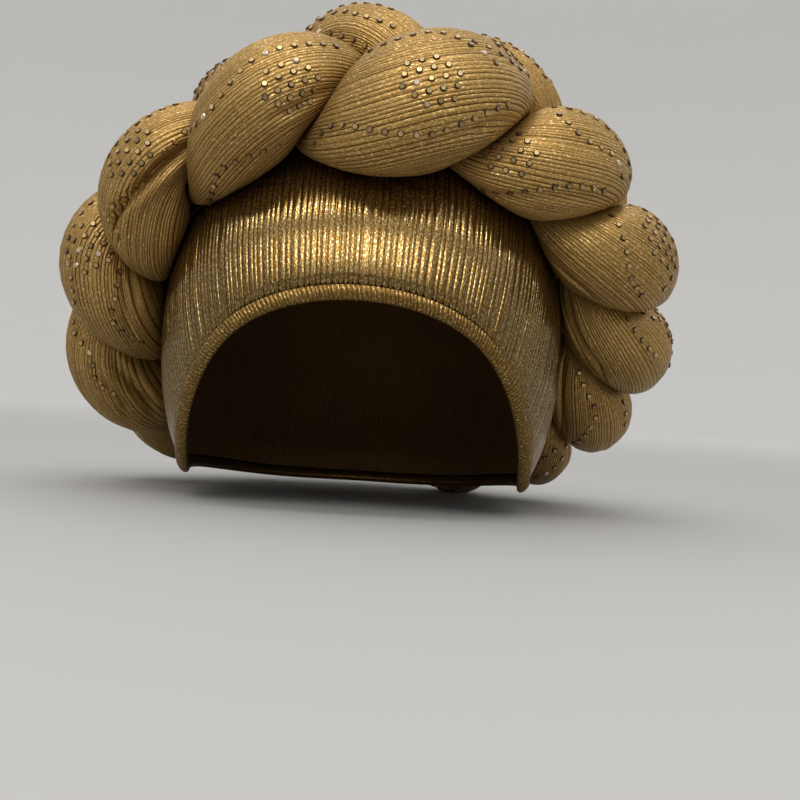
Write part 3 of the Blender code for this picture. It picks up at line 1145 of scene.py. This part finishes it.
def stone_finish(name, low, high, coat, roughness):
    """Finish of a stone's table or rim, paler or darker from stone to stone, a few of them bright with a
    painted glint and a smoother polish.
    """
    finish, tree, shader = new_finish(name)
    shader.inputs["Metallic"].default_value = STONE_METALLIC
    shader.inputs["Coat Weight"].default_value = coat
    shader.inputs["Coat Roughness"].default_value = COAT_ROUGHNESS
    glint = add_node(tree, "ShaderNodeAttribute", attribute_name="stone_glint").outputs["Fac"]
    colour = mix_colour(tree, ranged(tree, glint, *STONE_RANGE), opaque(low), opaque(high))
    # The brightest few stones take a painted glint colour as well as their smoother polish
    colour = mix_colour(tree, ranged(tree, glint, *GLINT_RANGE), colour, opaque(GLINT_COLOUR))
    join(tree, colour, shader.inputs["Base Color"])
    polish = ranged(tree, glint, *POLISH_RANGE, roughness, GLINT_ROUGHNESS)
    join(tree, polish, shader.inputs["Roughness"])
    return finish


def cut_stone():
    """Corners of one stone, its flat back at zero height, and its facets with the table last."""
    corners = [
        (
            radius * math.cos(2 * math.pi * (side + turn) / STONE_SIDES),
            radius * math.sin(2 * math.pi * (side + turn) / STONE_SIDES),
            height,
        )
        for radius, height, turn in STONE_RINGS
        for side in range(STONE_SIDES)
    ]
    here = range(STONE_SIDES)
    after = [(side + 1) % STONE_SIDES for side in here]
    girdle, table = STONE_SIDES, 2 * STONE_SIDES
    facets = [tuple(reversed(here))]
    facets += [(side, after[side], girdle + after[side], girdle + side) for side in here]
    facets += [(girdle + side, girdle + after[side], table + side) for side in here]
    facets += [(table + side, girdle + after[side], table + after[side]) for side in here]
    facets += [tuple(table + side for side in here)]
    return np.array(corners) * (STONE_RADIUS, STONE_RADIUS, STONE_HEIGHT), facets


def far_apart(points, least):
    """Indices of points that keep a least distance from the ones before them."""
    kept = []
    for index, point in enumerate(points):
        if not kept or np.linalg.norm(points[kept] - point, axis=1).min() >= least:
            kept.append(index)
    return kept


class GELE_OT_glued_stones(bpy.types.Operator):
    """Glues the small flat-backed stones to the strands in rows and clusters"""

    bl_idname = "gele.glued_stones"
    bl_label = "Glued Stones"

    def execute(self, context):
        dark = tuple(channel * DARK_STONE for channel in STONE_COLOUR)
        pale_rim = tuple(channel * PALE_RIM for channel in RIM_COLOUR)
        finishes = [
            stone_finish("smoky_stone_rim", RIM_COLOUR, pale_rim, **RIM_FINISH),
            stone_finish("smoky_stone_table", dark, STONE_COLOUR, **TABLE_FINISH),
        ]
        cut, facets = cut_stone()
        for number in range(STRANDS):
            draw = np.random.default_rng(STONE_SEED + number)
            points, normals, held = seats(number, stone_spots(number))
            clear = held < STONE_CLEAR
            points, normals = points[clear], normals[clear]
            kept = far_apart(points, STONE_APART * STONE_RADIUS)
            points, normals = points[kept], normals[kept]
            count = len(points)
            normals = unit(normals + math.tan(STONE_TILT) * draw.uniform(-1, 1, (count, 3)))
            first = unit(np.cross(normals, draw.normal(size=(count, 3))))
            second = np.cross(normals, first)
            turned = cut[:, 0:1] * first[:, None] + cut[:, 1:2] * second[:, None]
            turned = turned + (cut[:, 2:3] - STONE_SINK) * normals[:, None]
            shaped = (points[:, None] + turned).reshape(-1, 3)
            starts = [len(cut) * stone for stone in range(count)]
            faces = [tuple(corner + start for corner in facet) for start in starts for facet in facets]
            name = f"stones_on_strand_{number + 1}"
            data = bpy.data.meshes.new(name)
            data.from_pydata(shaped.tolist(), [], faces)
            for finish in finishes:
                data.materials.append(finish)
            which = np.tile([0] * (len(facets) - 1) + [1], count).astype(np.int32)
            data.polygons.foreach_set("material_index", which)
            glints = data.attributes.new("stone_glint", "FLOAT", "POINT")
            glint = np.repeat(draw.uniform(0, 1, count), len(cut))
            glints.data.foreach_set("value", glint.astype(np.float32))
            riding_piece(name, data)
        return {"FINISHED"}


def cap_directions(swept, gather, sideways, rows):
    """Directions from the head's centre down each column of the cap, and how far each has turned."""
    turned = swept[None, :] * (np.arange(1, rows + 1) / rows)[:, None]
    return np.cos(turned)[..., None] * gather + np.sin(turned)[..., None] * sideways, turned


def gather_folds(from_gather, places, draw):
    """How far the cloth is drawn in near the gather, and the strength of the star of folds there."""
    drawn = np.clip(1 - from_gather / GATHER_REACH, 0.0, 1.0)
    stars = np.zeros(from_gather.shape)
    for waves, weight in GATHER_STARS:
        turns = 2 * math.pi * (waves * places + draw.uniform())
        stars += weight * (1 - np.abs(np.cos(turns / 2)))
    return drawn, stars


def tip_faces(start, columns, tip):
    """Triangles from a closed row of points to a tip."""
    here = np.arange(columns)
    beside = (here + 1) % columns
    return np.stack([start + here, start + beside, np.full(columns, tip)], axis=1).tolist()


def cap_faces(columns):
    """Faces of the cap's outside, its rim and its lining, and how many there are of each."""
    outer_points = CAP_ROWS * columns
    outside = grid_faces(CAP_ROWS, columns, closed=False)
    inside = grid_faces(LINING_ROWS, columns, closed=False) + outer_points
    rim = grid_faces(2, columns, closed=False)
    last_outer, last_inner = (CAP_ROWS - 1) * columns, (CAP_ROWS + LINING_ROWS - 2) * columns
    rim = np.where(rim < columns, rim + last_outer, rim + last_inner)
    tip = outer_points + LINING_ROWS * columns
    outer = tip_faces(0, columns, tip)
    inner = inside.tolist() + tip_faces(outer_points, columns, tip + 1)
    return outside.tolist() + rim.tolist() + outer + inner, (len(outside), len(rim), len(outer))


class GELE_OT_pleated_cap(bpy.types.Operator):
    """Stretches the pleated cap over the dome, its pleats gathered behind the crown"""

    bl_idname = "gele.pleated_cap"
    bl_label = "Pleated Cap"

    def execute(self, context):
        cloth = context.scene.gele_cloth
        draw = np.random.default_rng(CAP_SEED)
        uneven = uneven_widths(np.random.default_rng(CAP_WIDTH_SEED), CAP_PLEATS, *CAP_WIDTHS)
        places, widths, depths = pleat_run(uneven, CAP_PLEAT)
        points, _, down = face_edge()
        edge = unit(points - down * (HEM_WIDTH + SEAT_GAP) - HEAD_CENTRE)[steps_at(points, places)]
        gather = np.array([0.0, math.sin(GATHER_ANGLE), math.cos(GATHER_ANGLE)])
        swept = np.arccos(edge @ gather)
        sideways = unit(edge - (edge @ gather)[:, None] * gather)

        outer, turned = cap_directions(swept, gather, sideways, CAP_ROWS)
        radius = dome_radius(outer, CAP_WALL)
        keen = wandering(CAP_ROWS, CAP_PLEATS, CAP_STATIONS, draw, closed=False)
        keen = np.repeat(CAP_KEEN + (1 - CAP_KEEN) * keen, len(CAP_PLEAT), axis=1)
        from_gather = radius * np.sin(turned)
        pitch = from_gather * widths * 2 * math.pi
        deep = np.minimum(cloth.cap_pleat_depth * keen, STEEPEST_PLEAT * pitch) * depths
        drawn, stars = gather_folds(from_gather, places, draw)
        deep += np.minimum(GATHER_FOLD * drawn, GATHER_STEEPEST * from_gather) * stars
        deep += GATHER_DIP * np.exp(-((from_gather / GATHER_DIP_RADIUS) ** 2))
        shaped = HEAD_CENTRE + outer * (radius - deep)[..., None]
        # Pleat grooves and the gather's star folds get painted shade
        crest = np.minimum(1 - depths * keen, 1 - GATHER_FOLD_SHADE * drawn * stars / stars.max())
        inner, turned_in = cap_directions(swept, gather, sideways, LINING_ROWS)
        tips = [
            dome_point(gather, CAP_WALL) - gather * OUTER_TIP_DROP,
            dome_point(gather, 0.0) - gather * INNER_TIP_DROP,
        ]
        grids = [shaped.reshape(-1, 3), dome_point(inner, 0.0).reshape(-1, 3)]
        all_points = np.concatenate([*grids, tips])

        round_place = np.repeat((places * CAP_ROUND)[None, :], CAP_ROWS, axis=0)
        # The lining's pleat grooves get painted shade too
        lining_crest = 1 - LINING_GROOVE_SHADE * depths * np.ones_like(turned_in)
        on_cap = np.stack([radius * turned, round_place, crest], axis=-1)
        on_lining = np.stack([radius.mean() * turned_in, round_place[:LINING_ROWS], lining_crest], axis=-1)
        # The gather's tips get mostly painted groove shade
        on_tips = [[0, 0, TIP_CREST]] * len(tips)
        place = np.concatenate([on_cap.reshape(-1, 3), on_lining.reshape(-1, 3), on_tips])

        faces, (outside, rim, tip) = cap_faces(len(places))
        finishes = [
            foil_cloth("cap_foil_cloth", cloth.cap_crest_colour, CAP_FLECK_COLOUR),
            foil_cloth("cap_inside_cloth", LINING_COLOUR, FLECK_COLOUR),
        ]
        which = np.zeros(len(faces), np.int32)
        which[outside + rim + tip :] = 1
        piece = cloth_piece("pleated_cap", all_points, faces, place, finishes, which)
        smooth = np.ones(len(faces), bool)
        smooth[outside : outside + rim] = False
        piece.data.polygons.foreach_set("use_smooth", smooth)
        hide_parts("head_cap")
        return {"FINISHED"}


class GELE_OT_rolled_hem(bpy.types.Operator):
    """Rolls the cap's edge under along the face, its pleats running over the roll"""

    bl_idname = "gele.rolled_hem"
    bl_label = "Rolled Hem"

    def execute(self, context):
        draw = np.random.default_rng(HEM_SEED)
        shares, _, depths = pleat_run(draw.uniform(*HEM_WIDTHS, HEM_PLEATS), PLAIT_PLEAT)
        points, out, down = face_edge()
        section = np.array(HEM_SECTION)
        slanted = (shares[:, None] + HEM_SLANT * section[None, :, 0]) % 1
        steps = steps_at(points, slanted)
        middle = points[steps] - down[steps] * (HEM_WIDTH / 2)
        lower, further = section[:, 0], section[:, 1]
        across = down[steps] * (lower * HEM_WIDTH / 2)[None, :, None]
        through = out[steps] * (further * HEM_THICKNESS / 2)[None, :, None]
        away = unit(
            down[steps] * section[None, :, 0:1] * ROLL_DOWN_WEIGHT + out[steps] * section[None, :, 1:2]
        )
        outside = np.clip(further * ROLL_PLEAT_GAIN + ROLL_PLEAT_START, ROLL_PLEAT_LEAST, 1.0)
        outside *= lower > SEWN_ABOVE
        pressed = np.repeat(draw.uniform(0, 1, HEM_PLEATS), len(PLAIT_PLEAT))
        pressed = (depths * (HEM_KEEN + (1 - HEM_KEEN) * pressed))[:, None]
        shaped = middle + across + through - away * (HEM_PLEAT_DEPTH * pressed * outside)[..., None]
        run = summed(steps_along(section * (HEM_WIDTH / 2)))
        # The hem's pleat grooves get painted shade
        crest = 1 - pressed * np.ones(len(section))
        place = np.stack([*np.meshgrid(CAP_ROUND * shares, run, indexing="ij"), crest], axis=-1)
        place = place[..., [1, 0, 2]]
        faces = grid_faces(len(shares), len(section), closed=True).tolist()
        crest_colour = context.scene.gele_cloth.cap_crest_colour
        finish = foil_cloth("hem_foil_cloth", crest_colour, FLECK_COLOUR)
        piece = cloth_piece("pleated_hem", shaped.reshape(-1, 3), faces, place.reshape(-1, 3), [finish])
        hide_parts("rolled_hem")
        return {"FINISHED"}


def soft_light(name, place, target, width, height, power, colour):
    """A rectangular soft light that faces a point."""
    data = bpy.data.lights.new(name, "AREA")
    data.shape = "RECTANGLE"
    data.size = width
    data.size_y = height
    data.energy = power
    data.color = colour
    lamp = bpy.data.objects.new(name, data)
    lamp.location = place
    away = (np.array(place) - np.array(target)).tolist()
    lamp.rotation_euler = Vector(away).to_track_quat("Z", "Y").to_euler()
    bpy.context.collection.objects.link(lamp)


class GELE_OT_stage(bpy.types.Operator):
    """Sets the pale floor and backdrop, the soft lights and the camera"""

    bl_idname = "gele.stage"
    bl_label = "Stage"

    def execute(self, context):
        stage = context.scene.gele_stage
        floor_height = CAD_LOW[2] - FLOOR_GAP
        heights = [(away, 0.0) for away in (*INNER_RADII, FLAT_RADIUS)]
        for bend in np.radians(CURVE_BENDS):
            away = FLAT_RADIUS + CURVE_RADIUS * np.sin(bend)
            heights.append((away, CURVE_RADIUS - CURVE_RADIUS * np.cos(bend)))
        heights.append((FLAT_RADIUS + CURVE_RADIUS, STAGE_HEIGHT))
        turns = np.arange(STAGE_SIDES) / STAGE_SIDES * 2 * math.pi
        level = np.ones(STAGE_SIDES)
        rings = [
            np.stack([away * np.cos(turns), away * np.sin(turns), (floor_height + up) * level], axis=1)
            for away, up in heights
        ]
        points = np.concatenate([[[0, 0, floor_height]], *rings])
        faces = (grid_faces(len(rings), STAGE_SIDES, closed=False) + 1).tolist()
        faces += [(0, 1 + side, 1 + (side + 1) % STAGE_SIDES) for side in range(STAGE_SIDES)]
        data = bpy.data.meshes.new("pale_floor")
        data.from_pydata(points.tolist(), [], faces)
        turn_outwards(data)
        data.shade_smooth()
        paper, tree, shader = new_finish("pale_paper")
        shader.inputs["Roughness"].default_value = PAPER_ROUGHNESS
        spot = add_node(tree, "ShaderNodeTexCoord")
        away = add_node(tree, "ShaderNodeVectorMath", operation="LENGTH")
        join(tree, spot.outputs["Object"], away.inputs[0])
        share = ranged(tree, away.outputs["Value"], PALER_FROM, FLAT_RADIUS, 0.0, 1.0)
        paler = mix_colour(tree, share, opaque(stage.floor_colour), opaque(stage.backdrop_colour))
        join(tree, paler, shader.inputs["Base Color"])
        data.materials.append(paper)
        floor = bpy.data.objects.new("pale_floor", data)
        context.collection.objects.link(floor)

        for name, place, target, width, height, share, colour in LIGHTS:
            soft_light(name, place, target, width, height, stage.key_power * share, colour)

        world = bpy.data.worlds.new("studio")
        world.use_nodes = True
        surroundings = world.node_tree.nodes["Background"]
        surroundings.inputs["Color"].default_value = WORLD_COLOUR
        surroundings.inputs["Strength"].default_value = WORLD_STRENGTH
        context.scene.world = world
        context.scene.view_settings.view_transform = "Standard"

        lens = bpy.data.cameras.new("photo_camera")
        lens.lens = CAMERA_LENS
        lens.sensor_width = SENSOR_WIDTH
        camera = bpy.data.objects.new("photo_camera", lens)
        cosine, sine = math.cos(CAMERA_ROLL), math.sin(CAMERA_ROLL)
        turned = Matrix(((cosine, -sine, 0.0), (0.0, 0.0, -1.0), (sine, cosine, 0.0))).to_4x4()
        camera.matrix_world = Matrix.Translation(CAMERA_PLACE) @ turned
        context.collection.objects.link(camera)
        context.scene.camera = camera
        return {"FINISHED"}


class GELE_PT_panel(bpy.types.Panel):
    """Lists the head tie's pieces in the order that they are made"""

    bl_idname = "GELE_PT_panel"
    bl_label = "Tied Gele Head Tie"
    bl_space_type = "VIEW_3D"
    bl_region_type = "UI"
    bl_category = "Gele"

    def draw(self, context):
        layout = self.layout
        for group in (context.scene.gele_cloth, context.scene.gele_stage):
            for name in group.__annotations__:
                layout.prop(group, name)
        for step in STEPS:
            layout.operator(step.bl_idname)


STEPS = (
    GELE_OT_pleated_cap,
    GELE_OT_rolled_hem,
    GELE_OT_stuffed_strands,
    GELE_OT_glued_stones,
    GELE_OT_stage,
)
CLASSES = (GeleClothSettings, GeleStageSettings, *STEPS, GELE_PT_panel)


def register():
    for item in CLASSES:
        bpy.utils.register_class(item)
    bpy.types.Scene.gele_cloth = PointerProperty(type=GeleClothSettings)
    bpy.types.Scene.gele_stage = PointerProperty(type=GeleStageSettings)


def unregister():
    del bpy.types.Scene.gele_stage
    del bpy.types.Scene.gele_cloth
    for item in reversed(CLASSES):
        bpy.utils.unregister_class(item)


def main():
    register()
    bpy.ops.gele.pleated_cap()
    bpy.ops.gele.rolled_hem()
    bpy.ops.gele.stuffed_strands()
    bpy.ops.gele.glued_stones()
    bpy.ops.gele.stage()


if __name__ == "__main__":
    main()
